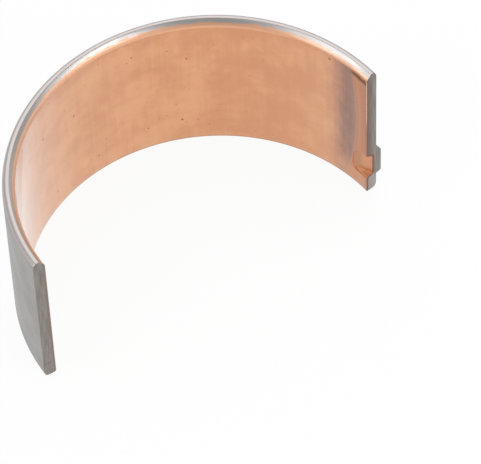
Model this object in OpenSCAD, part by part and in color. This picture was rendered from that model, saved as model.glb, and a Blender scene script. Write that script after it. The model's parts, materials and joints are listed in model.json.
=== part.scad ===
// Half shell of a plain engine bearing: a steel back with a copper alloy lining.
// The shaft turns on the inside, along Z. The crown of the arc points to +Y, and
// the shell stands on its lower end face. The origin is on the shaft axis, half
// way along the shell. The shell is drawn free, sprung a little open.

/* [Seat] */
// Bore of the housing that the shell is pressed into
housing_bore = 60; // [45:0.5:90]
// How much wider than the housing bore the free shell stands across its joint faces
free_spread = 1.1; // [0:0.1:2]
// Length of the shell along the shaft
length = 27; // [20:0.1:45]

/* [Wall] */
// Thickness of the wall, steel and lining together
wall = 1.95; // [1.7:0.05:2.8]
// Thickness of the lining
lining = 0.4; // [0.25:0.05:0.5]

/* [Edges] */
// Wide chamfer that clears the shaft's fillet, on the upper inner edge
fillet_chamfer = 0.9; // [0.5:0.05:1.1]
// Chamfer on the lower inner edge
lower_chamfer = 0.15; // [0.1:0.05:0.8]
// Width of the chamfer on both outer edges, in the end faces
back_chamfer = 0.35; // [0.15:0.05:0.4]
// Height of the chamfer on both outer edges, along the back
back_rise = 0.65; // [0.2:0.05:0.9]
// Chamfer along the inner edge of each joint face
joint_chamfer = 0.1; // [0.05:0.05:0.35]

/* [Locating lug] */
// Height of the lug's sheared lower side above the lower end face
lug_offset = 3.1; // [2:0.1:8]
// Length of the punched strip along the shaft, at the joint face
lug_length = 5; // [4:0.1:7]
// How far the lug stands out from the back at the joint face
lug_height = 1; // [0.7:0.05:1.3]
// Distance along the back over which the lug fades out
lug_run = 3.2; // [2.5:0.1:4.5]
// How far the lug's drawn upper side leans out from crest to foot
lug_lean = 1.8; // [0.5:0.1:2]
// How far the lug's sheared lower side leans out from crest to foot
lug_draft = 0.25; // [0.1:0.05:0.6]
// How far both sides of the lug close in over its run
lug_taper = 0.5; // [0:0.1:1]
// Chamfer on the lug's crest at the joint face
lug_chamfer = 0.15; // [0.05:0.05:0.4]
// Depth of the punched recess behind the lug at the joint face
recess_depth = 1.15; // [0.85:0.05:1.25]
// Distance from the joint face at which the recess meets the running face
recess_run = 3.15; // [2.8:0.05:4]
// Distance from the joint face at which the recess's floor bends up to the running face
recess_knee = 2; // [1.2:0.1:2.3]
// Depth of the recess at that bend
knee_depth = 0.6; // [0.4:0.05:0.7]
// Radius of the recess's upper corner in the running face
recess_corner = 2.2; // [1:0.1:2.5]
// How far the recess's upper side leans out from the floor to the running face
recess_lean = 0.7; // [0.2:0.1:1]
// Thickness of the lining drawn down the sides of the recess
drawn_lining = 0.2; // [0.1:0.05:0.3]

/* [Hidden] */
$fn = 360;

steel_colour = [0.60, 0.59, 0.57];
lining_colour = [0.83, 0.60, 0.46];

// Half of the free arc, in radians. The wall keeps its length as it springs open,
// so a wider shell has a shorter arc of a larger radius: Newton's steps find the
// arc whose chord is the housing bore and the spread together.
seat_r = housing_bore / 2;
chord_share = (seat_r + free_spread / 2) / (seat_r * PI / 2);
function degrees(radians) = radians * 180 / PI;
function arc_error(a) = sin(degrees(a)) / a - chord_share;
function arc_slope(a) = (a * cos(degrees(a)) - sin(degrees(a))) / (a * a);
function free_half_arc(a, steps) =
    steps == 0 ? a : free_half_arc(a - arc_error(a) / arc_slope(a), steps - 1);

newton_steps = 6;
half_arc = free_half_arc(PI / 2, newton_steps);
back_r = seat_r * PI / 2 / half_arc;
running_r = back_r - wall;
joint_angle = 90 - degrees(half_arc);
top_z = length / 2;
base_z = -length / 2;
lug_z = base_z + lug_offset;

// Room by which a cutting shape passes the surface that it cuts
cut_margin = 1;
// Room between the line where the recess's floor runs out and the recess's outline
toe_margin = 0.05;

// Places its children at the right joint face, which is then the plane y = 0, with
// x along the wall's thickness and y along the arc.
module at_joint() {
    rotate([0, 0, joint_angle]) children();
}

// Extrudes an outline drawn in (y, z) along x, from one distance off the axis to another.
module through_wall(from_x, to_x) {
    translate([from_x, 0, 0])
        rotate([90, 0, 90])
            linear_extrude(to_x - from_x) children();
}

// The bent strip: the wall's section swept round the free arc.
module strip() {
    section = [
        [running_r, base_z + lower_chamfer],
        [running_r + lower_chamfer, base_z],
        [back_r - back_chamfer, base_z],
        [back_r, base_z + back_rise],
        [back_r, top_z - back_rise],
        [back_r - back_chamfer, top_z],
        [running_r + fillet_chamfer, top_z],
        [running_r, top_z - fillet_chamfer]
    ];
    at_joint() rotate_extrude(angle = 2 * degrees(half_arc)) polygon(section);
}

// The point of a circle of radius r that lies a given distance along it from the joint face.
function along_arc(r, run) = [r * cos(degrees(run / r)), r * sin(degrees(run / r))];

// The lug's outside: a ramp that falls to the back, sheared nearly square below and
// drawn out to a leaning side above.
module lug() {
    root_r = back_r - (wall - lining) / 2;
    crest_r = back_r + lug_height;
    foot_z = lug_z + lug_length + lug_lean;
    foot = along_arc(back_r, lug_run);
    ramp = [
        [root_r, 0],
        [crest_r - lug_chamfer, 0],
        [crest_r - lug_chamfer * lug_height / lug_run, lug_chamfer],
        foot,
        foot - [back_r - root_r, 0]
    ];
    outline = [
        [0, lug_z],
        [lug_run, lug_z + lug_taper],
        [lug_run, foot_z - lug_taper],
        [0, foot_z]
    ];
    end_view = [
        [root_r, lug_z],
        [back_r, lug_z],
        [crest_r, lug_z + lug_draft],
        [crest_r, lug_z + lug_length],
        [back_r, foot_z],
        [root_r, foot_z]
    ];
    at_joint() intersection() {
        translate([0, 0, lug_z]) linear_extrude(lug_length + lug_lean) polygon(ramp);
        through_wall(root_r, crest_r + cut_margin) polygon(outline);
        translate([0, lug_run, 0]) rotate([90, 0, 0]) linear_extrude(lug_run) polygon(end_view);
    }
}

// What the punch leaves open on the shaft's side, driven in to a given depth below the
// lining's surface and wider by a given side. Its floor falls in two slopes to the joint
// face, its lower side is sheared square, and its upper side leans out to the running face.
module punched(depth, side) {
    inside_x = running_r - recess_depth;
    floor_x = running_r + recess_depth + depth;
    reach_x = floor_x + cut_margin;
    knee = along_arc(running_r + knee_depth, recess_knee);
    toe = along_arc(running_r, recess_run);
    past_toe = toe + (toe - knee) / 2;
    run = toe.y + toe_margin + side;
    corner = recess_corner + side;
    low_z = lug_z - side;
    floor_z = lug_z + lug_length - recess_lean / 2 + side;
    high_z = floor_z + recess_lean;
    slopes = [
        [inside_x, -cut_margin],
        [floor_x, -cut_margin],
        [floor_x, 0],
        knee + [depth, 0],
        past_toe + [depth, 0],
        [inside_x, past_toe.y]
    ];
    end_view = [
        [inside_x, low_z],
        [reach_x, low_z],
        [reach_x, floor_z],
        [floor_x, floor_z],
        [running_r + depth, high_z],
        [inside_x, high_z]
    ];
    at_joint() intersection() {
        translate([0, 0, low_z]) linear_extrude(high_z - low_z) polygon(slopes);
        translate([0, run, 0]) rotate([90, 0, 0]) linear_extrude(run + cut_margin) polygon(end_view);
        union() {
            translate([inside_x, -cut_margin, low_z])
                cube([reach_x - inside_x, run - corner + cut_margin, high_z - low_z]);
            translate([inside_x, -cut_margin, low_z])
                cube([reach_x - inside_x, run + cut_margin, high_z - corner - low_z]);
            through_wall(inside_x, reach_x)
                translate([run - corner, high_z - corner]) circle(corner);
        }
    }
}

// Everything on the shaft's side of the bond between the two metals.
module shaft_side() {
    translate([0, 0, base_z - cut_margin])
        cylinder(r = running_r + lining, h = length + 2 * cut_margin);
    punched(lining, drawn_lining);
}

// The broken edges along the inside of both joint faces.
module joint_edges() {
    edge = [
        [running_r - cut_margin, -cut_margin],
        [running_r + joint_chamfer + cut_margin, -cut_margin],
        [running_r - cut_margin, joint_chamfer + cut_margin]
    ];
    for (side = [0, 1])
        mirror([side, 0, 0])
            at_joint()
                translate([0, 0, base_z - cut_margin])
                    linear_extrude(length + 2 * cut_margin) polygon(edge);
}

// The formed shell before it is told apart into its two metals.
module formed_shell() {
    difference() {
        union() {
            strip();
            lug();
        }
        joint_edges();
    }
}

module steel_back() {
    color(steel_colour)
        difference() {
            formed_shell();
            shaft_side();
        }
}

module bearing_lining() {
    color(lining_colour)
        difference() {
            intersection() {
                formed_shell();
                shaft_side();
            }
            punched(0, 0);
        }
}

steel_back();
bearing_lining();
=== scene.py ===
"""Looks of a half-round engine bearing shell: a steel back with a bonded copper alloy lining.

The file is laid out as an add-on and is run as a script. Two operators model the two metals
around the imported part, and a third one sets up the floor, the lamps and the camera.
"""

import json
import math

import bmesh
import bpy
from bpy.props import FloatProperty, FloatVectorProperty, IntProperty, PointerProperty
from bpy.types import Operator, Panel, PropertyGroup
from mathutils import Matrix, Vector, noise


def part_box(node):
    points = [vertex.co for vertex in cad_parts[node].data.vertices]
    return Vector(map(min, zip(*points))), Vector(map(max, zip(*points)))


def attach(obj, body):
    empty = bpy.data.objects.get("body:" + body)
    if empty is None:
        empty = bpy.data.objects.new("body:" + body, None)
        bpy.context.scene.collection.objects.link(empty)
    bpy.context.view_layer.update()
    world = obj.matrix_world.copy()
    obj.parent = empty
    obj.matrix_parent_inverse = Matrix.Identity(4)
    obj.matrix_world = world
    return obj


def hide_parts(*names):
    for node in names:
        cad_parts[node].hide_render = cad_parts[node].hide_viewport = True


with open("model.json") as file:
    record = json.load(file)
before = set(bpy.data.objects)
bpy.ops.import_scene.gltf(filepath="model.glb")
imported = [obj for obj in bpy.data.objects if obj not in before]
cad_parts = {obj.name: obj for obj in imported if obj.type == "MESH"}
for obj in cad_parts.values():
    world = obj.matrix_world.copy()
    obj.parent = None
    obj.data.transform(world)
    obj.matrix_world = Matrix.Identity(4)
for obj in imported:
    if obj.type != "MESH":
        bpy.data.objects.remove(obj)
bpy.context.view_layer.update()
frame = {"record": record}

bl_info = {
    "name": "Engine Bearing Shell",
    "version": (1, 0, 0),
    "blender": (4, 5, 0),
    "location": "View3D > Sidebar > Bearing Shell",
    "description": "Models a half-round engine bearing shell with its finishes and a studio",
    "category": "Object",
}

MM = 0.001
UP = Vector((0, 0, 1))
AXIS_POINT = Vector((0, 0, 0))


def mount(name):
    """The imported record's mount of that name."""
    return next(m for m in frame["record"]["mounts"] if m["name"] == name)


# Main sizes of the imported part, in metres
RUNNING_R = mount("journal")["dims"]["r_mm"] * MM
BACK_R = mount("housing_seat")["dims"]["r_mm"] * MM
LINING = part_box("bearing_lining")[1].y - RUNNING_R
BOND_R = RUNNING_R + LINING
BASE_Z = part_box("steel_back")[0].z
TOP_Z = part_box("steel_back")[1].z
JOINT_ANGLE = math.asin(mount("joint_face_lug_end")["axis"][0])
ARC = math.pi - 2 * JOINT_ANGLE
TO_JOINT = Matrix.Rotation(-JOINT_ANGLE, 3, "Z")
FROM_JOINT = Matrix.Rotation(JOINT_ANGLE, 3, "Z")

# Two lengths closer than this are the same, and two directions with a greater cosine
SAME = 0.002 * MM
SAME_WAY = 0.999


def length(label, text, default):
    """A length property in metres, given in millimetres."""
    return FloatProperty(
        name=label, description=text, default=default * MM, min=0, precision=5,
        subtype="DISTANCE", unit="LENGTH")


def angle(label, text, default):
    """An angle property, given in degrees."""
    return FloatProperty(
        name=label, description=text, default=math.radians(default),
        subtype="ANGLE", unit="ROTATION")


def amount(label, text, default, high=1.0):
    """A plain number from nothing to a highest value."""
    return FloatProperty(name=label, description=text, default=default, min=0, max=high)


def tint(label, text, default):
    """A colour property, given as linear light."""
    return FloatVectorProperty(
        name=label, description=text, default=default, size=3, min=0, max=1, subtype="COLOR")


class ShellSizes(PropertyGroup):
    """Sizes of the edges, of the locating lug and of the mesh."""

    fillet_chamfer: length("Fillet chamfer", "Wide chamfer on the upper inner edge", 0.9)
    lower_chamfer: length("Lower chamfer", "Chamfer on the lower inner edge", 0.15)
    back_chamfer: length("Back chamfer", "Width of the outer edges' chamfer", 0.35)
    back_rise: length("Back chamfer rise", "Height of the outer edges' chamfer", 0.65)
    joint_chamfer: length("Joint chamfer", "Broken inner edge of each joint face", 0.1)
    edge_round: length("Edge rounding", "Softness of the turned inner edges", 0.09)
    chamfer_blend: length("Chamfer blend", "Softness from the chamfer to the running face", 0.45)
    back_round: length("Back rounding", "Softness of the outer edges", 0.3)
    edge_wander: length("Edge wander", "How far the bond's edge on the chamfer wanders", 0.05)
    lug_offset: length("Lug offset", "Height of the sheared side above the lower face", 3.1)
    lug_length: length("Lug length", "Length of the punched strip along the shaft", 5)
    lug_height: length("Lug height", "How far the lug stands out of the back", 1)
    lug_run: length("Lug run", "Distance along the back over which the lug fades", 3.2)
    lug_lean: length("Lug lean", "How far the drawn upper side leans out", 1.8)
    lug_draft: length("Lug draft", "How far the sheared lower side leans out", 0.25)
    lug_taper: length("Lug taper", "How far both sides close in over the run", 0.5)
    lug_chamfer: length("Lug chamfer", "Chamfer of the crest at the joint face", 0.15)
    lug_round: length("Lug rounding", "Softness of the lug's drawn edges", 0.16)
    recess_depth: length("Recess depth", "Depth behind the lug at the joint face", 1.15)
    recess_run: length("Recess run", "Distance from the joint face to the recess's toe", 3.15)
    recess_knee: length("Recess knee", "Distance to the bend of the recess's floor", 2)
    knee_depth: length("Knee depth", "Depth of the recess at that bend", 0.6)
    recess_corner: length("Recess corner", "Radius of the recess's upper corner", 2.2)
    recess_lean: length("Recess lean", "How far the recess's upper side leans out", 0.7)
    recess_soft: length("Recess softness", "Softness of the recess's drawn edges", 0.14)
    recess_wall: length("Recess wall", "Width of the wall at the rounded corner", 0.2)
    recess_shear: length("Recess shear", "Width of the recess's sheared wall", 0.7)
    drawn_lining: length("Drawn lining", "Lining drawn down the recess's sides", 0.2)
    ring_height: length("Ring height", "Height of one ring of faces", 1.0)
    lug_mesh: length("Lug mesh", "Side of one face near the lug", 0.1)
    arc_steps: IntProperty(
        name="Arc steps", description="Faces along the arc", default=264, min=90, max=600)


class ShellColours(PropertyGroup):
    """Colours of the finishes, as linear light."""

    steel: tint("Rolled steel", "Back of the shell", (0.435, 0.417, 0.402))
    steel_dark: tint("Rolled steel, dark", "Dark marks on the back", (0.335, 0.322, 0.308))
    rim: tint("Turned rim", "Turned end faces", (0.475, 0.43, 0.42))
    chamfer: tint("Turned chamfer", "Chamfers of the steel", (0.62, 0.60, 0.59))
    joint: tint("Joint face", "Cut steel of the joint faces", (0.33, 0.315, 0.295))
    joint_dark: tint("Joint face, dark", "Joint faces near the lining", (0.205, 0.146, 0.119))
    lining: tint("Lining", "Bored running face", (0.75, 0.352, 0.158))
    lining_deep: tint("Lining, deep", "Darker patches of the lining", (0.645, 0.268, 0.11))
    lining_turned: tint("Lining, turned edge", "Lining on the chamfers", (0.90, 0.49, 0.30))
    # Painted highlight on the lining's turned edge near the joints and on the joints' broken inner edge
    lining_highlight: tint("Lining, burnished edge", "Turned edge near the joints", (0.95, 0.74, 0.58))
    lining_worn: tint("Lining, worn", "Strip between the dull band and the joint", (0.44, 0.115, 0.004))
    lining_pressed: tint("Lining, pressed", "Lining drawn into the recess", (0.74, 0.33, 0.15))
    lining_cut: tint("Lining, cut edge", "Lining cut through at the joints", (0.20, 0.12, 0.085))
    lining_edge: tint("Lining, broken edge", "Broken inner edge of the joints", (0.42, 0.25, 0.18))
    lining_dull: tint("Lining, dull edge", "Cut lining at the plain end", (0.29, 0.235, 0.21))
    lining_sheared: tint("Lining, sheared", "Sheared low wall of the recess", (0.64, 0.265, 0.10))
    lining_bruised: tint("Lining, bruised", "Toe of the recess", (0.57, 0.275, 0.145))
    # Painted dark reflection: the grey-brown colour of the dull band near the lug
    band_reflection: tint("Band reflection", "Dull band near the lug", (0.215, 0.066, 0.034))
    # Painted dark reflection under the chamfer's lip, above the dull band near the lug
    lip_reflection: tint("Lip reflection", "Brown edge above the dull band", (0.12, 0.03, 0.006))
    # Also the colour of the painted shadow along the lining's foot
    stain_and_shadow: tint("Stain and shadow", "Brown stains on the steel", (0.25, 0.17, 0.11))
    speck: tint("Speck", "Dark specks and pits", (0.20, 0.06, 0.025))


class StudioSettings(PropertyGroup):
    """Camera, lamps and floor."""

    azimuth: angle("Azimuth", "Turn of the camera round the shell", -33.42)
    elevation: angle("Elevation", "Height of the camera as an angle", 52.10)
    roll: angle("Roll", "Turn of the camera about its view", -2.38)
    distance: length("Distance", "Camera to the point that it looks at", 573.35)
    lens: FloatProperty(
        name="Lens", description="Focal length on a 36 mm sensor", default=289.6,
        min=20, unit="CAMERA")
    aim: FloatVectorProperty(
        name="Aim", description="Point that the camera looks at", size=3, precision=5,
        default=(2.910 * MM, -2.604 * MM, -0.444 * MM), subtype="XYZ", unit="LENGTH")
    floor_width: length("Floor width", "Side of the square floor", 4000)
    floor_colour: tint("Floor", "Pale floor", (0.95, 0.95, 0.95))
    floor_glow: amount("Floor glow", "Share of the floor that is plain white", 0.93)
    horizon: amount("Horizon", "Brightness of the walls near the table", 1.0, 2)
    ceiling: amount("Ceiling", "Brightness of the room above the front wall", 0.5, 2)
    back_lamp: amount("Back lamp", "Brightness of the lamp above and behind", 0.92, 10)
    front_lamp: amount("Front lamp", "Brightness of the lamp at the front right", 2.8, 10)
    right_lamp: amount("Right lamp", "Brightness of the dim lamp at the right", 1.15, 10)
    left_lamp: amount("Left lamp", "Brightness of the lamp at the left", 1.3, 10)
    top_lamp: amount("Top lamp", "Brightness of the wide lamp overhead", 0.3, 10)


# Shape of the strip


def joint_point(x, y, z):
    """A point given in the frame of the lug's joint face: x through the wall, y along the arc."""
    return FROM_JOINT @ Vector((x, y, z))


def radius(point):
    return math.hypot(point.x, point.y)


def along_arc(r, run):
    """The point of a circle of radius r that lies a given distance from the joint face."""
    return r * math.cos(run / r), r * math.sin(run / r)


def wall_section(sizes):
    """Corners of the whole wall's section: four outer ones, then four on the shaft's side."""
    back, rise = sizes.back_chamfer, sizes.back_rise
    lower, upper = sizes.lower_chamfer, sizes.fillet_chamfer
    return [
        (BACK_R - back, BASE_Z),
        (BACK_R, BASE_Z + rise),
        (BACK_R, TOP_Z - rise),
        (BACK_R - back, TOP_Z),
        (RUNNING_R + upper, TOP_Z),
        (RUNNING_R, TOP_Z - upper),
        (RUNNING_R, BASE_Z + lower),
        (RUNNING_R + lower, BASE_Z),
    ]


def round_corners(bm, verts, rounding, segments=3):
    bmesh.ops.bevel(
        bm, geom=verts, offset=rounding, offset_type="OFFSET", segments=segments, profile=0.5,
        affect="VERTICES", material=-1, clamp_overlap=True)


def draw_section(bm, sizes, steel):
    """Draws the wall's section on the lug's joint face, and keeps the steel or the lining of it."""
    verts = [bm.verts.new(joint_point(r, 0, z)) for r, z in wall_section(sizes)]
    bm.faces.new(verts)
    outer, running_edge = verts[:4], verts[5]
    round_corners(bm, outer, sizes.back_round)
    round_corners(bm, [verts[4], *verts[6:]], sizes.edge_round)
    round_corners(bm, [running_edge], sizes.chamfer_blend, segments=8)
    bmesh.ops.bisect_plane(
        bm, geom=bm.verts[:] + bm.edges[:] + bm.faces[:], dist=SAME,
        plane_co=joint_point(BOND_R, 0, 0), plane_no=joint_point(1, 0, 0),
        clear_inner=steel, clear_outer=not steel)


def cut(bm, faces, point, normal):
    """Cuts faces along a plane, in a fixed order and with nothing taken away."""
    geom = dict.fromkeys(faces)
    for face in faces:
        geom.update(dict.fromkeys(face.edges))
        geom.update(dict.fromkeys(face.verts))
    bmesh.ops.bisect_plane(
        bm, geom=list(geom), dist=SAME, plane_co=point, plane_no=normal)


def rings(low, high, step):
    """Evenly spaced values from low to high, about a step apart."""
    count = max(1, round((high - low) / step))
    return [low + (high - low) * i / count for i in range(count + 1)]


def spin_strip(bm, sizes):
    """Cuts the section into rings and spins it round the free arc."""
    for z in rings(BASE_Z + MM, TOP_Z - MM, sizes.ring_height):
        cut(bm, bm.faces[:], Vector((0, 0, z)), UP)
    geom = bm.verts[:] + bm.edges[:] + bm.faces[:]
    bmesh.ops.spin(
        bm, geom=geom, cent=AXIS_POINT, axis=UP, angle=ARC, steps=sizes.arc_steps,
        use_merge=False, use_duplicate=False)
    bmesh.ops.recalc_face_normals(bm, faces=bm.faces)


def joint_normals():
    """Directions that the two joint faces look in."""
    return [Vector(mount(name)["axis"]) for name in ("joint_face_lug_end", "joint_face_plain_end")]


def on_joint(face):
    """Whether a face lies in one of the two joint faces."""
    return any(
        face.normal.dot(normal) > SAME_WAY and abs(face.calc_center_median().dot(normal)) < SAME
        for normal in joint_normals())


def joint_edges(bm, low_r, high_r):
    """Edges round the joint faces that run within a range of radii."""
    found = []
    for edge in bm.edges:
        flat = [on_joint(face) for face in edge.link_faces]
        if any(flat) and not all(flat):
            if all(low_r <= radius(v.co) <= high_r for v in edge.verts):
                found.append(edge)
    return found


def break_edges(bm, edges, width):
    bmesh.ops.bevel(
        bm, geom=edges, offset=width, offset_type="OFFSET", segments=2, profile=0.5,
        affect="EDGES", material=-1, clamp_overlap=True)


# The punched lug and the recess behind it


def lug_window(sizes):
    """Lowest height, highest height and reach along the arc of what the punch has moved."""
    low = BASE_Z + sizes.lug_offset
    high = low + sizes.lug_length + sizes.lug_lean
    reach = max(sizes.lug_run, sizes.recess_run)
    room = 4 * sizes.lug_mesh
    return low - room, high + room, reach + room


def near_lug(bm, sizes):
    low, high, reach = lug_window(sizes)
    found = []
    for face in bm.faces:
        place = TO_JOINT @ face.calc_center_median()
        if place.x > 0 and place.y < reach and low < place.z < high:
            found.append(face)
    return found


def refine_lug(bm, sizes):
    """Cuts the faces near the lug into a fine, even mesh."""
    low, high, reach = lug_window(sizes)
    for z in rings(low, high, sizes.lug_mesh):
        cut(bm, near_lug(bm, sizes), Vector((0, 0, z)), UP)
    for run in rings(sizes.joint_chamfer + sizes.lug_mesh, reach, sizes.lug_mesh):
        turn = JOINT_ANGLE + run / BACK_R
        across = Vector((-math.sin(turn), math.cos(turn), 0))
        cut(bm, near_lug(bm, sizes), AXIS_POINT, across)


def ease(value, width):
    """Rises smoothly from 0 to 1 over a width."""
    share = min(max(value / width, 0), 1)
    return share * share * (3 - 2 * share)


def soft_min(first, second, softness):
    """The lesser of two lengths, rounded where they are close."""
    overlap = max(softness - abs(first - second), 0)
    return min(first, second) - overlap * overlap / (4 * softness)


def recess_floor(sizes, y):
    """How far from the axis the recess's two floor slopes lie, at a distance along the arc."""
    start = RUNNING_R + sizes.recess_depth
    knee_x, knee_y = along_arc(RUNNING_R + sizes.knee_depth, sizes.recess_knee)
    toe_x, toe_y = along_arc(RUNNING_R, sizes.recess_run)
    gentle = start + (knee_x - start) * y / knee_y
    steep = knee_x + (toe_x - knee_x) * (y - knee_y) / (toe_y - knee_y)
    return soft_min(gentle, steep, sizes.recess_soft)


def in_outline(sizes, y, z, high, side):
    """Distance of a point from the recess's outline in the running face, positive inside."""
    run = along_arc(RUNNING_R, sizes.recess_run)[1] + side
    corner = sizes.recess_corner + side
    across, up = y - run + corner, z - high + corner
    if across > 0 and up > 0:
        return corner - math.hypot(across, up)
    return min(run - y, high - z)


def sink_recess(sizes, place, depth, side):
    """Moves a point of the lining's surface, or of the bond under it, out to the recess."""
    y, z = max(place.y, 0), place.z
    low = BASE_Z + sizes.lug_offset - side
    high = BASE_Z + sizes.lug_offset + sizes.lug_length + sizes.recess_lean / 2 + side
    leaning = RUNNING_R + sizes.recess_depth * (high - z) / sizes.recess_lean
    target = soft_min(recess_floor(sizes, y), leaning, sizes.recess_soft) + depth
    sunk = -soft_min(place.x - target, 0, sizes.recess_soft / 2)
    inside = ease(in_outline(sizes, y, z, high, side), sizes.recess_wall)
    place.x += inside * ease(z - low, sizes.recess_shear) * sunk


def raise_lug(sizes, place):
    """Moves a point of the back out to the lug."""
    foot_x, foot_y = along_arc(BACK_R, sizes.lug_run)
    crest = BACK_R + sizes.lug_height
    y = max(place.y, 0)
    ramp = min(
        crest + (foot_x - crest) * y / foot_y,
        crest - sizes.lug_chamfer + y)
    back = math.sqrt(BACK_R ** 2 - y ** 2)
    close_in = sizes.lug_taper * y / sizes.lug_run
    low = BASE_Z + sizes.lug_offset + close_in
    high = BASE_Z + sizes.lug_offset + sizes.lug_length + sizes.lug_lean - close_in
    sheared = (place.z - low) * sizes.lug_height / sizes.lug_draft
    drawn = (high - place.z) * sizes.lug_height / sizes.lug_lean
    rise = soft_min(soft_min(ramp - back, drawn, sizes.lug_round), sheared, sizes.lug_round / 2)
    place.x += -soft_min(-rise, 0, sizes.lug_round / 2)


def form_lug(bm, sizes, split_r, inner, outer):
    """Moves the points near the lug: those inside a radius by one rule, the rest by another."""
    low, high, reach = lug_window(sizes)
    for vert in bm.verts:
        place = TO_JOINT @ vert.co
        if place.x > 0 and place.y < reach and low <= place.z <= high:
            (inner if radius(vert.co) < split_r else outer)(place)
            vert.co = FROM_JOINT @ place


# The uneven edge of the bond as two waves, each with its steps in a radian, its place in the noise
# and its share, and the row of the noise that they run along
EDGE_WAVES = ((9, 0.5, 0.8), (37, 7.5, 0.6))
EDGE_ROW = 900 * BOND_R


def wander(bm, sizes):
    """Lets the bond's edge on the wide chamfer run a little unevenly along the cone."""
    bond_z = TOP_Z - sizes.fillet_chamfer + LINING
    for vert in bm.verts:
        near = abs(radius(vert.co) - BOND_R) < sizes.edge_round
        if near and abs(vert.co.z - bond_z) < sizes.edge_round:
            turn = math.atan2(vert.co.y, vert.co.x)
            shift = sizes.edge_wander * sum(
                share * noise.noise(Vector((turn * steps, EDGE_ROW, place)))
                for steps, place, share in EDGE_WAVES)
            outward = Vector((math.cos(turn), math.sin(turn), 0))
            vert.co += shift * (outward + UP).normalized()


# Finishes

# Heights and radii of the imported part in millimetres, the unit of the finishes
BASE_MM = BASE_Z / MM
TOP_MM = TOP_Z / MM
RUNNING_MM = RUNNING_R / MM
BOND_MM = BOND_R / MM
BACK_MM = BACK_R / MM

# Turns in radians from the lug's side: halves of the arc that tell the joint faces apart,
# where the lining darkens towards the lug, and where its turned edge has a painted highlight
# at each end
LUG_HALF = 1.2
PLAIN_HALF = 2.0
DARKER_TURN = (1.3, 0.5)
HIGHLIGHT_PLAIN = (1.8, 2.3)
HIGHLIGHT_LUG = (0.65, 0.3)

# Specks on the running face: degrees from the lug's side, height and size in millimetres
SPECKS = (
    (117.6, 5.4, 0.3), (102.4, 3.3, 0.26), (80.2, 8.9, 0.24), (65.4, -8.6, 0.31),
    (63.1, 5.6, 0.24), (76.3, -8.8, 0.22), (17.1, 11.6, 0.34), (2.3, -11.3, 0.24),
    (1.6, -12.3, 0.2), (3.6, -10.9, 0.17),
)

# The dull band, rougher and with a painted dark reflection, in millimetres along the back:
# its crisp near edge and how it bows from a middle height, where it is dullest and where it has
# faded out, and the heights over which it thins out
BAND_NEAR = 3.0
BAND_BOW = 0.0105
BAND_MIDDLE = 2.0
BAND_CORE = 5.3
BAND_FAR = 9.9
BAND_FOOT = (-12.0, -6.0)

# The painted dark reflection under the chamfer's lip, above the dull band: lowest and highest
# place, and where it fades along the back
LIP_REFLECTION_LOW = 11.1
LIP_REFLECTION_HIGH = 12.8
LIP_REFLECTION_FADE = (5.4, 3.6)

# Heights between which the wear near the lug thins out below the recess
WEAR_FOOT = (-10.6, -9.0)

# A nick across the plain joint face: lowest and highest place
NICK_LOW = -11.0
NICK_HIGH = -10.4

# The thin film of oil on the lining
FILM = 1.0
FILM_ROUGHNESS = 0.05
FILM_IOR = 1.58


class Nodes:
    """Adds nodes to an emptied node tree and links them."""

    def __init__(self, owner):
        owner.use_nodes = True
        self.tree = owner.node_tree
        self.tree.nodes.clear()

    def node(self, kind, inputs=None, **settings):
        made = self.tree.nodes.new(kind)
        for name, value in settings.items():
            setattr(made, name, value)
        for key, value in (inputs or {}).items():
            self.put(made.inputs[key], value)
        return made

    def put(self, socket, value):
        """Links an output to a socket, or sets the socket's own value."""
        if isinstance(value, bpy.types.NodeSocket):
            self.tree.links.new(value, socket)
        elif socket.type == "RGBA":
            socket.default_value = (*value, 1)
        else:
            socket.default_value = value

    def math(self, operation, *values):
        made = self.node("ShaderNodeMath", dict(enumerate(values)), operation=operation)
        return made.outputs["Value"]

    def times(self, first, second):
        return self.math("MULTIPLY", first, second)

    def spread(self, value, low, high, to_low=0.0, to_high=1.0):
        """Maps a range of values smoothly onto another, and holds the ends."""
        made = self.node(
            "ShaderNodeMapRange",
            {"Value": value, "From Min": low, "From Max": high, "To Min": to_low, "To Max": to_high},
            interpolation_type="SMOOTHSTEP")
        return made.outputs["Result"]


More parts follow.
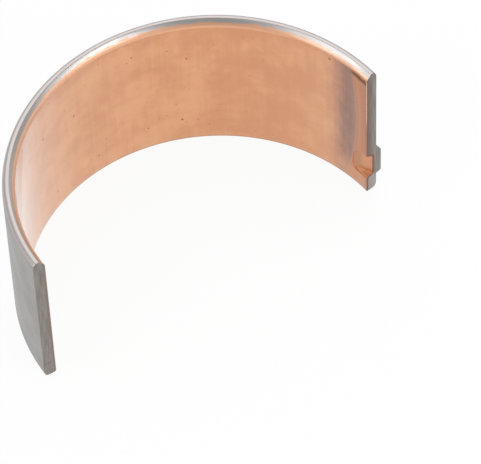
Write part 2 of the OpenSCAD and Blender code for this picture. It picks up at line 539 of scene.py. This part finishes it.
class Finish(Nodes):
    """The nodes of one metal finish, with the height, turn, arc and radius of a place."""

    def __init__(self, name):
        self.material = bpy.data.materials.new(name)
        super().__init__(self.material)
        place = self.node("ShaderNodeTexCoord").outputs["Object"]
        split = self.node("ShaderNodeSeparateXYZ", {"Vector": place}).outputs
        x, y, self.height = (self.times(split[axis], 1 / MM) for axis in "XYZ")
        self.turn = self.math("ARCTAN2", y, x)
        self.arc = self.times(self.turn, BACK_MM)
        self.radius = self.math("SQRT", self.math("ADD", self.times(x, x), self.times(y, y)))

    def spot(self, first, second, third):
        """A texture place from three values, each already in the pattern's own scale."""
        return self.node("ShaderNodeCombineXYZ", {"X": first, "Y": second, "Z": third}).outputs[0]

    def wall_spot(self, along, up, shift=0.0):
        """A texture place with so many pattern steps per millimetre along the arc and the shaft."""
        return self.spot(self.times(self.arc, along), self.times(self.height, up), shift)

    def rim_spot(self, along, through, shift=0.0):
        """The same on an end face, with steps along the arc and through the wall."""
        return self.spot(self.times(self.arc, along), self.times(self.radius, through), shift)

    def joint_spot(self, through, up, shift=0.0):
        """The same on a joint face, with steps through the wall and along the shaft."""
        return self.spot(self.times(self.radius, through), self.times(self.height, up), shift)

    def noise(self, place, detail=2.0, rough=0.5):
        made = self.node(
            "ShaderNodeTexNoise",
            {"Vector": place, "Scale": 1.0, "Detail": detail, "Roughness": rough})
        return made.outputs["Fac"]

    def dots(self, place, size, share):
        """Round dots in random cells, in a share of the cells, soft at their edge."""
        made = self.node(
            "ShaderNodeTexVoronoi", {"Vector": place, "Scale": 1.0, "Randomness": 0.9},
            voronoi_dimensions="2D")
        pick = self.node("ShaderNodeSeparateColor", {"Color": made.outputs["Color"]}).outputs
        chosen = self.math("LESS_THAN", pick[0], share)
        past_edge = self.math("SUBTRACT", made.outputs["Distance"], self.times(pick[1], size))
        return self.times(self.spread(past_edge, 0.02, -0.02), chosen)

    def blot(self, turn, height, size):
        """One soft round blot at an angle in degrees and a height in millimetres."""
        centre = (math.radians(turn) * BACK_MM, height, 0)
        made = self.node(
            "ShaderNodeVectorMath", {0: self.wall_spot(1.0, 1.0), 1: centre}, operation="DISTANCE")
        return self.spread(made.outputs["Value"], size, size / 3)

    def between(self, value, low, high, share=1.0):
        """A share that rises and falls smoothly between two values."""
        middle = (low + high) / 2
        return self.times(self.spread(value, low, middle, 0.0, share), self.spread(value, high, middle))

    def lug_end(self):
        """Where a joint face is the one with the lug."""
        return self.spread(self.turn, PLAIN_HALF, LUG_HALF)

    def plain_end(self, share=1.0):
        """A share where a joint face is the one without the lug."""
        return self.spread(self.turn, LUG_HALF, PLAIN_HALF, 0.0, share)

    def mix(self, share, first, second):
        made = self.node("ShaderNodeMix", data_type="RGBA", blend_type="MIX")
        for index, value in ((0, share), (6, first), (7, second)):
            self.put(made.inputs[index], value)
        return made.outputs[2]

    def add(self, *parts):
        """Sum of (share, value) pairs."""
        total = 0.0
        for share, value in parts:
            total = self.math("MULTIPLY_ADD", value, share, total)
        return total

    def metal(self, colour, roughness, height, relief, film=0.0):
        """The bare metal surface, with relief in millimetres and a share of oil film."""
        bump = self.node(
            "ShaderNodeBump", {"Height": height, "Distance": relief * MM, "Strength": 1.0})
        shader = self.node("ShaderNodeBsdfPrincipled", {
            "Base Color": colour, "Roughness": roughness, "Metallic": 1.0,
            "Coat Weight": film, "Coat Roughness": FILM_ROUGHNESS, "Coat IOR": FILM_IOR,
            "Normal": bump.outputs["Normal"]})
        self.node("ShaderNodeOutputMaterial", {"Surface": shader.outputs["BSDF"]})
        return self.material


def shear_height(sizes):
    """Height of the lug's sheared side, in millimetres."""
    return (BASE_Z + sizes.lug_offset) / MM


def rolled_steel(sizes, colours):
    """The back: satin strip with fine marks along the shaft, patches, pits and brown stains."""
    finish = Finish("rolled_steel_back")
    marks = finish.noise(finish.wall_spot(2.6, 0.10), detail=5.0, rough=0.6)
    hairs = finish.noise(finish.wall_spot(6.0, 0.3, 4.0), detail=3.0, rough=0.6)
    patches = finish.noise(finish.wall_spot(0.22, 0.20, 9.0), detail=4.0, rough=0.55)
    grain = finish.noise(finish.wall_spot(7.0, 5.0, 2.0))
    tone = finish.add((0.24, marks), (0.08, hairs), (0.43, patches), (0.25, grain))
    colour = finish.mix(finish.spread(tone, 0.34, 0.74), colours.steel_dark, colours.steel)
    runs = finish.noise(finish.wall_spot(0.30, 0.07, 21.0), detail=3.0)
    colour = finish.mix(finish.spread(runs, 0.60, 0.74, 0.0, 0.45), colour, colours.stain_and_shadow)
    pits = finish.dots(finish.wall_spot(0.35, 0.30), size=0.07, share=0.12)
    colour = finish.mix(finish.times(pits, 0.75), colour, colours.speck)
    low, run = shear_height(sizes), sizes.lug_run / MM
    sheared = finish.times(
        finish.between(finish.height, low - 0.15, low + 0.35, 0.8),
        finish.spread(finish.arc, run + 1.8, run + 1.0))
    colour = finish.mix(sheared, colour, colours.chamfer)
    drawn = finish.spread(finish.radius, BACK_MM + 0.04, BACK_MM + 0.25, 0.0, 0.3)
    colour = finish.mix(drawn, colour, colours.chamfer)
    roughness = finish.spread(tone, 0.35, 0.75, 0.50, 0.40)
    height = finish.add((0.4, marks), (0.25, hairs), (0.3, grain), (-0.8, pits))
    return finish.metal(colour, roughness, height, relief=0.006)


def turned_rim(colours):
    """The turned end faces: pale, with fine lines along the arc."""
    finish = Finish("turned_steel_rim")
    lines = finish.noise(finish.rim_spot(0.16, 9.0), detail=4.0, rough=0.6)
    patches = finish.noise(finish.wall_spot(0.5, 0.5, 5.0), detail=3.0)
    tone = finish.add((0.6, lines), (0.4, patches))
    colour = finish.mix(finish.spread(tone, 0.3, 0.7, 0.0, 0.35), colours.rim, colours.steel)
    roughness = finish.spread(lines, 0.3, 0.7, 0.26, 0.40)
    return finish.metal(colour, roughness, lines, relief=0.008)


def turned_chamfer(colours):
    """The steel's chamfers: brighter, with lining smeared over the edge by the tool."""
    finish = Finish("turned_steel_chamfer")
    lines = finish.noise(finish.rim_spot(0.3, 8.0), detail=4.0, rough=0.65)
    ragged = finish.noise(finish.rim_spot(0.7, 4.0, 3.0), detail=4.0, rough=0.6)
    past_bond = finish.math("SUBTRACT", finish.radius, BOND_MM)
    reach = finish.spread(ragged, 0.35, 0.75, -0.06, 0.16)
    smear = finish.spread(finish.math("SUBTRACT", past_bond, reach), 0.12, -0.08)
    colour = finish.mix(finish.spread(lines, 0.3, 0.7, 0.0, 0.3), colours.chamfer, colours.steel)
    colour = finish.mix(smear, colour, colours.lining_turned)
    roughness = finish.add((0.14, smear), (1.0, finish.spread(lines, 0.3, 0.7, 0.28, 0.38)))
    return finish.metal(colour, roughness, lines, relief=0.006)


def cut_steel(sizes, colours):
    """The joint faces: dull grey, with marks of the cutter along the shaft."""
    finish = Finish("cut_steel_joint")
    lines = finish.noise(finish.joint_spot(5.0, 0.25), detail=4.0, rough=0.6)
    patches = finish.noise(finish.joint_spot(1.0, 0.4, 3.0), detail=3.0)
    colour = finish.mix(finish.spread(lines, 0.3, 0.7, 0.0, 0.5), colours.joint, colours.joint_dark)
    by_bond = finish.spread(finish.radius, BACK_MM - 0.3, BOND_MM + 0.1, 0.0, 0.75)
    lug_end = finish.lug_end()
    colour = finish.mix(finish.times(by_bond, lug_end), colour, colours.joint_dark)
    low = shear_height(sizes)
    foot = finish.spread(finish.height, low + 0.8, low - 0.2, 0.0, 0.7)
    colour = finish.mix(finish.times(foot, lug_end), colour, colours.rim)
    nick = finish.times(
        finish.between(finish.height, NICK_LOW, NICK_HIGH, 0.6),
        finish.between(finish.radius, RUNNING_MM + 0.3, BACK_MM - 0.1))
    colour = finish.mix(finish.times(nick, finish.plain_end()), colour, colours.joint_dark)
    colour = finish.mix(finish.spread(patches, 0.5, 0.8, 0.0, 0.35), colour, colours.stain_and_shadow)
    roughness = finish.spread(lines, 0.3, 0.7, 0.42, 0.56)
    return finish.metal(colour, roughness, lines, relief=0.01)


def bored_lining(sizes, colours):
    """The lining: satin copper alloy with soft patches, specks, a dull band and turned edges, with
    painted dark reflections in the dull band and under the chamfer's lip, painted shade under the
    chamfer, a painted shadow along the foot and a painted highlight on the turned edge near the joints.
    """
    finish = Finish("bored_copper_lining")
    marks = finish.noise(finish.wall_spot(3.2, 0.06, 1.0), detail=5.0, rough=0.55)
    streaks = finish.noise(finish.wall_spot(0.9, 0.05, 17.0))
    patches = finish.noise(finish.wall_spot(0.13, 0.15, 6.0), detail=3.0)
    mottle = finish.noise(finish.wall_spot(0.55, 0.5, 12.0), detail=3.0, rough=0.55)
    grain = finish.noise(finish.wall_spot(2.4, 2.0, 8.0))
    lug_side = finish.spread(finish.turn, *DARKER_TURN)
    # Painted shade: the running face darkens just under the chamfer
    shade_under_chamfer = finish.spread(finish.height, TOP_MM - 4.0, TOP_MM - 1.2)
    tone = finish.add(
        (0.1, marks), (0.15, streaks), (0.5, patches), (0.2, mottle), (0.05, grain),
        (-0.07, lug_side), (-0.06, shade_under_chamfer))
    colour = finish.mix(finish.spread(tone, 0.36, 0.61), colours.lining_deep, colours.lining)
    colour, dull, worn = wear_by_lug(finish, colours, colour, mottle, streaks)
    # Painted shadow along the lining's foot, next to the floor
    foot = finish.spread(finish.height, BASE_MM + 0.6, BASE_MM + 0.1, 0.0, 0.6)
    colour = finish.mix(foot, colour, colours.stain_and_shadow)
    specks = lining_specks(finish)
    colour = finish.mix(finish.times(specks, 0.65), colour, colours.speck)
    scuffs = finish.dots(finish.wall_spot(0.62, 0.45), size=0.11, share=0.3)
    colour = finish.mix(finish.times(scuffs, 0.35), colour, colours.lining_worn)
    pressed = finish.times(
        finish.spread(finish.radius, RUNNING_MM + 0.03, RUNNING_MM + 0.2),
        finish.spread(finish.height, 0.0, -1.0))
    colour = finish.mix(pressed, colour, recess_colour(finish, sizes, colours))
    turned = finish.spread(finish.height, TOP_MM - 1.35, TOP_MM - 0.9)
    colour = finish.mix(turned, colour, edge_colour(finish, colours))
    # Painted dark reflection under the chamfer's lip near the lug
    lip_reflection = painted_lip_reflection(finish, mottle)
    colour = finish.mix(lip_reflection, colour, colours.lip_reflection)
    roughness = finish.add(
        (0.22, dull), (0.38, pressed), (0.29, turned),
        (1.0, finish.spread(tone, 0.38, 0.62, 0.19, 0.14)))
    height = finish.add((0.5, marks), (0.1, grain), (0.4, mottle), (-0.6, specks))
    # No oil film over the painted lip reflection, the specks and part of the worn strip
    lip_reflection_and_specks = finish.math("MAXIMUM", lip_reflection, specks)
    without_film = finish.math("MAXIMUM", lip_reflection_and_specks, finish.times(worn, 0.25))
    film = finish.math("SUBTRACT", FILM, without_film)
    return finish.metal(colour, roughness, height, relief=0.003, film=film)


def wear_by_lug(finish, colours, colour, mottle, streaks):
    """The lining's colour with the wear and the painted dark reflection of the dull band near the lug,
    and how dull and how worn each place is.
    """
    past = past_band_edge(finish, mottle)
    dull = dull_band(finish, past, mottle, streaks)
    over_foot = finish.spread(finish.height, *WEAR_FOOT, 0.6, 1.0)
    worn = finish.times(finish.spread(past, 0.45, -0.05, 0.0, 0.95), over_foot)
    colour = finish.mix(worn, colour, colours.lining_worn)
    # Painted dark reflection over the dull band
    colour = finish.mix(dull, colour, colours.band_reflection)
    colour = finish.mix(finish.between(past, -1.2, 0.4, 0.15), colour, colours.lining)
    # Browner towards the lug's joint
    browner_by_joint = finish.times(finish.spread(finish.arc, 2.6, 1.2, 0.0, 0.2), over_foot)
    return finish.mix(browner_by_joint, colour, colours.lip_reflection), dull, worn


def past_band_edge(finish, mottle):
    """Millimetres along the arc from the dull band's bowed edge, positive in the band."""
    lift = finish.math("SUBTRACT", finish.height, BAND_MIDDLE)
    edge = finish.math("MULTIPLY_ADD", finish.times(lift, lift), BAND_BOW, BAND_NEAR)
    stray = finish.math("SUBTRACT", mottle, 0.5)
    return finish.math("SUBTRACT", finish.math("MULTIPLY_ADD", stray, 0.5, finish.arc), edge)


def dull_band(finish, past, mottle, streaks):
    """How dull the lining is near the lug, which also sets its painted dark reflection: streaked on
    one side, with a bowed edge on the other.
    """
    crisp = finish.spread(past, -0.4, 0.8)
    strayed = finish.add((1.0, finish.arc), (0.8, mottle), (1.2, streaks))
    soft = finish.spread(strayed, BAND_FAR + 1.0, BAND_CORE + 1.0)
    low = finish.spread(finish.height, *BAND_FOOT, 0.5, 0.9)
    cloud = finish.spread(finish.add((0.5, mottle), (0.5, streaks)), 0.35, 0.65, 1.0, 0.86)
    return finish.times(finish.times(finish.times(crisp, soft), low), cloud)


def painted_lip_reflection(finish, mottle):
    """How much painted dark reflection the lining has above the dull band, just under its turned edge.
    """
    strip = finish.times(
        finish.between(finish.height, LIP_REFLECTION_LOW, LIP_REFLECTION_HIGH, 0.95),
        finish.spread(finish.arc, *LIP_REFLECTION_FADE))
    return finish.times(strip, finish.spread(mottle, 0.35, 0.5, 0.5, 1.0))


def lining_specks(finish):
    """Fine dots at random and the larger specks at their own places."""
    specks = finish.dots(finish.wall_spot(0.30, 0.33), size=0.05, share=0.15)
    for turn, height, size in SPECKS:
        specks = finish.math("MAXIMUM", specks, finish.blot(turn, height, size))
    return specks


def recess_colour(finish, sizes, colours):
    """Colour of the lining pressed into the recess: bruised toe, bright floor and sheared wall."""
    bottom = finish.spread(finish.radius, RUNNING_MM + 0.45, RUNNING_MM + 0.75)
    floor = finish.mix(bottom, colours.lining_bruised, colours.lining_pressed)
    low = shear_height(sizes)
    ledge = finish.spread(finish.height, low + 1.1, low + 0.6)
    return finish.mix(ledge, floor, colours.lining_sheared)


def edge_colour(finish, colours):
    """Colour of the lining's turned upper edge, with a painted highlight near both joints."""
    highlighted = finish.math(
        "MAXIMUM", finish.spread(finish.turn, *HIGHLIGHT_PLAIN, 0.0, 0.9),
        finish.spread(finish.turn, *HIGHLIGHT_LUG, 0.0, 0.6))
    return finish.mix(highlighted, colours.lining_turned, colours.lining_highlight)


def cut_lining(colours):
    """The lining's cut edge on the joint faces: dull brown copper, with a painted highlight
    along its broken inner edge.
    """
    finish = Finish("cut_copper_edge")
    lines = finish.noise(finish.joint_spot(5.0, 0.5), detail=4.0, rough=0.6)
    streak = finish.spread(lines, 0.3, 0.7, 0.0, 0.35)
    colour = finish.mix(streak, colours.lining_cut, colours.lining_edge)
    edge = finish.spread(finish.radius, RUNNING_MM + 0.16, RUNNING_MM + 0.06)
    colour = finish.mix(edge, colour, colours.lining_edge)
    upper = finish.spread(finish.height, 1.0, 4.0, 0.0, 0.8)
    # Painted highlight along the broken inner edge, stronger towards the top
    colour = finish.mix(finish.times(edge, upper), colour, colours.lining_highlight)
    colour = finish.mix(finish.plain_end(0.85), colour, colours.lining_dull)
    roughness = finish.spread(lines, 0.3, 0.7, 0.4, 0.55)
    return finish.metal(colour, roughness, lines, relief=0.01)


# The two pieces

# The joint faces' cut finish: how far a face looks their way to share it, as a cosine, and how
# deep it reaches over their broken edges
JOINT_LEAN = 0.2
CUT_DEPTH = 0.2 * MM

# The ends' turned finish: how far a face looks along the shaft to share it and to be flat, as
# cosines, and how deep it reaches from the ends
TURNED_LEAN = 0.35
FLAT_LEAN = 0.9
TURNED_DEPTH = 2 * MM

# Edges with a wider angle than this are sharp
SHARP_ANGLE = math.radians(38)


def by_joint(face):
    """Whether a face lies in a joint face or on its broken edges."""
    centre = face.calc_center_median()
    return any(
        face.normal.dot(normal) > JOINT_LEAN and centre.dot(normal) > -CUT_DEPTH
        for normal in joint_normals())


def steel_region(face):
    """Which of the steel's finishes a face has: back, rim, chamfer or joint face."""
    if by_joint(face):
        return 3
    centre = face.calc_center_median()
    if abs(face.normal.z) < TURNED_LEAN or abs(centre.z) < TOP_Z - TURNED_DEPTH:
        return 0
    inner = radius(centre) < (RUNNING_R + BACK_R) / 2
    return 2 if inner and abs(face.normal.z) < FLAT_LEAN else 1


def lining_region(face):
    """Which of the lining's finishes a face has: bored and turned, or cut through at a joint."""
    return int(by_joint(face))


def finish_piece(bm, name, region, finishes, node):
    """Makes the piece's object from its mesh and puts it in place of its solid."""
    for face in bm.faces:
        face.smooth = True
        face.material_index = region(face)
    mesh = bpy.data.meshes.new(name)
    bm.to_mesh(mesh)
    bm.free()
    for finish in finishes:
        mesh.materials.append(finish)
    mesh.set_sharp_from_angle(angle=SHARP_ANGLE)
    piece = bpy.data.objects.new(name, mesh)
    bpy.context.scene.collection.objects.link(piece)
    weigh = piece.modifiers.new("even_shading", "WEIGHTED_NORMAL")
    weigh.keep_sharp = True
    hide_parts(node)
    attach(piece, "root")


class BEARING_OT_steel_back(Operator):
    """Models the steel back with its lug and gives it its finishes"""

    bl_idname = "bearing.steel_back"
    bl_label = "Steel Back"

    def execute(self, context):
        sizes = context.scene.bearing_sizes
        colours = context.scene.bearing_colours
        bm = bmesh.new()
        draw_section(bm, sizes, steel=True)
        spin_strip(bm, sizes)
        break_edges(bm, joint_edges(bm, BOND_R + SAME, BACK_R + SAME), sizes.edge_round)
        wander(bm, sizes)
        refine_lug(bm, sizes)
        form_lug(
            bm, sizes, (BOND_R + BACK_R) / 2,
            lambda place: sink_recess(sizes, place, LINING, sizes.drawn_lining),
            lambda place: raise_lug(sizes, place))
        finishes = [
            rolled_steel(sizes, colours), turned_rim(colours), turned_chamfer(colours),
            cut_steel(sizes, colours)]
        finish_piece(bm, "steel_shell", steel_region, finishes, "steel_back")
        return {"FINISHED"}


class BEARING_OT_lining(Operator):
    """Models the bonded lining with the punched recess and gives it its finishes"""

    bl_idname = "bearing.lining"
    bl_label = "Lining"

    def execute(self, context):
        sizes = context.scene.bearing_sizes
        colours = context.scene.bearing_colours
        bm = bmesh.new()
        draw_section(bm, sizes, steel=False)
        spin_strip(bm, sizes)
        break_edges(bm, joint_edges(bm, 0, RUNNING_R + SAME), sizes.joint_chamfer)
        wander(bm, sizes)
        refine_lug(bm, sizes)
        form_lug(
            bm, sizes, BOND_R - SAME,
            lambda place: sink_recess(sizes, place, 0, 0),
            lambda place: sink_recess(sizes, place, LINING, sizes.drawn_lining))
        finishes = [bored_lining(sizes, colours), cut_lining(colours)]
        finish_piece(bm, "copper_lining", lining_region, finishes, "bearing_lining")
        return {"FINISHED"}


# The studio

# Each lamp's direction from the shell, its distance and the side of its face, in metres
LAMPS = {
    "back_lamp": ((0.33, 0.52, 0.79), 0.7, 0.6),
    "front_lamp": ((0.285, -0.79, 0.54), 0.7, 0.34),
    "right_lamp": ((0.65, -0.64, 0.41), 0.7, 0.27),
    "left_lamp": ((-0.86, 0.15, 0.48), 0.7, 0.5),
    "top_lamp": ((0, 0, 1), 1.0, 1.2),
}

# The camera's sensor in millimetres, and the nearest and farthest that it sees, in metres
SENSOR_WIDTH = 36
NEAREST = 0.01
FARTHEST = 20

# Directions between which the room's walls give way to its ceiling, and its back to its front
CEILING_RISE = (0.05, 0.30)
FRONT_TURN = (0.35, -0.25)


def view_axes(studio):
    """Right, up and back of the camera."""
    back = Vector((
        math.sin(studio.azimuth) * math.cos(studio.elevation),
        -math.cos(studio.azimuth) * math.cos(studio.elevation),
        math.sin(studio.elevation)))
    level = Vector((math.cos(studio.azimuth), math.sin(studio.azimuth), 0))
    right = Matrix.Rotation(studio.roll, 3, back) @ level
    return right, back.cross(right), back


def place_camera(scene, studio):
    data = bpy.data.cameras.new("photo_camera")
    data.lens = studio.lens
    data.sensor_width = SENSOR_WIDTH
    data.clip_start = NEAREST
    data.clip_end = FARTHEST
    camera = bpy.data.objects.new("photo_camera", data)
    right, up, back = view_axes(studio)
    turned = Matrix((right, up, back)).transposed().to_4x4()
    where = Vector(studio.aim) + studio.distance * back
    camera.matrix_world = Matrix.Translation(where) @ turned
    scene.collection.objects.link(camera)
    scene.camera = camera


def place_lamp(scene, name, direction, far, width, brightness):
    """A square soft lamp that looks at the shell, with its face at a given brightness."""
    data = bpy.data.lights.new(name, "AREA")
    data.shape = "SQUARE"
    data.size = width
    data.energy = brightness * math.pi * width * width
    lamp = bpy.data.objects.new(name, data)
    towards = Vector(direction).normalized()
    lamp.matrix_world = (
        Matrix.Translation(towards * far) @ towards.to_track_quat("Z", "Y").to_matrix().to_4x4())
    lamp.visible_camera = False
    scene.collection.objects.link(lamp)
    return lamp


def floor_material(studio):
    """A pale matt floor that looks nearly white and keeps the shadow."""
    material = bpy.data.materials.new("pale_floor")
    nodes = Nodes(material)
    ray = nodes.node("ShaderNodeLightPath").outputs
    seen = nodes.math("MAXIMUM", ray["Is Camera Ray"], ray["Is Glossy Ray"])
    seen = nodes.math("MAXIMUM", seen, ray["Is Transmission Ray"])
    share = nodes.times(seen, studio.floor_glow)
    matt = nodes.node("ShaderNodeBsdfDiffuse", {"Color": studio.floor_colour}).outputs[0]
    glow = nodes.node("ShaderNodeEmission").outputs[0]
    blend = nodes.node("ShaderNodeMixShader", {0: share, 1: matt, 2: glow}).outputs[0]
    nodes.node("ShaderNodeOutputMaterial", {"Surface": blend})
    return material


def lay_floor(scene, studio):
    bm = bmesh.new()
    bmesh.ops.create_grid(
        bm, x_segments=1, y_segments=1, size=studio.floor_width / 2,
        matrix=Matrix.Translation((0, 0, BASE_Z)))
    mesh = bpy.data.meshes.new("floor")
    bm.to_mesh(mesh)
    bm.free()
    mesh.materials.append(floor_material(studio))
    floor = bpy.data.objects.new("floor", mesh)
    scene.collection.objects.link(floor)


def light_room(scene, studio):
    """A room with bright walls, and a dim ceiling over its front half."""
    world = bpy.data.worlds.new("studio_room")
    nodes = Nodes(world)
    way = nodes.node("ShaderNodeTexCoord").outputs["Generated"]
    split = nodes.node("ShaderNodeSeparateXYZ", {"Vector": way}).outputs
    above = nodes.spread(split["Z"], *CEILING_RISE)
    in_front = nodes.spread(split["Y"], *FRONT_TURN, 0.0, studio.ceiling - studio.horizon)
    level = nodes.math("MULTIPLY_ADD", above, in_front, studio.horizon)
    background = nodes.node("ShaderNodeBackground", {"Strength": level}).outputs[0]
    nodes.node("ShaderNodeOutputWorld", {"Surface": background})
    scene.world = world


class BEARING_OT_studio(Operator):
    """Sets up the floor, the lamps, the room and the camera"""

    bl_idname = "bearing.studio"
    bl_label = "Studio"

    def execute(self, context):
        scene = context.scene
        studio = scene.bearing_studio
        scene.view_settings.view_transform = "Standard"
        lay_floor(scene, studio)
        light_room(scene, studio)
        for name, (direction, far, width) in LAMPS.items():
            lamp = place_lamp(scene, name, direction, far, width, getattr(studio, name))
            # The wide lamp overhead only fills the shadows, so no metal mirrors it
            lamp.visible_glossy = name != "top_lamp"
        place_camera(scene, studio)
        return {"FINISHED"}


class BEARING_PT_shell(Panel):
    """Lists the pieces and the studio"""

    bl_idname = "BEARING_PT_shell"
    bl_label = "Bearing Shell"
    bl_space_type = "VIEW_3D"
    bl_region_type = "UI"
    bl_category = "Bearing Shell"

    def draw(self, context):
        scene = context.scene
        for maker in OPERATORS:
            self.layout.operator(maker.bl_idname)
        for group in (scene.bearing_sizes, scene.bearing_colours, scene.bearing_studio):
            box = self.layout.box()
            for name in group.__annotations__:
                box.prop(group, name)


GROUPS = {
    "bearing_sizes": ShellSizes,
    "bearing_colours": ShellColours,
    "bearing_studio": StudioSettings,
}
OPERATORS = (BEARING_OT_steel_back, BEARING_OT_lining, BEARING_OT_studio)
CLASSES = (*GROUPS.values(), *OPERATORS, BEARING_PT_shell)


def register():
    for made in CLASSES:
        bpy.utils.register_class(made)
    for name, group in GROUPS.items():
        setattr(bpy.types.Scene, name, PointerProperty(type=group))


def unregister():
    for name in GROUPS:
        delattr(bpy.types.Scene, name)
    for made in reversed(CLASSES):
        bpy.utils.unregister_class(made)


def main():
    register()
    bpy.ops.bearing.steel_back()
    bpy.ops.bearing.lining()
    bpy.ops.bearing.studio()


if __name__ == "__main__":
    main()
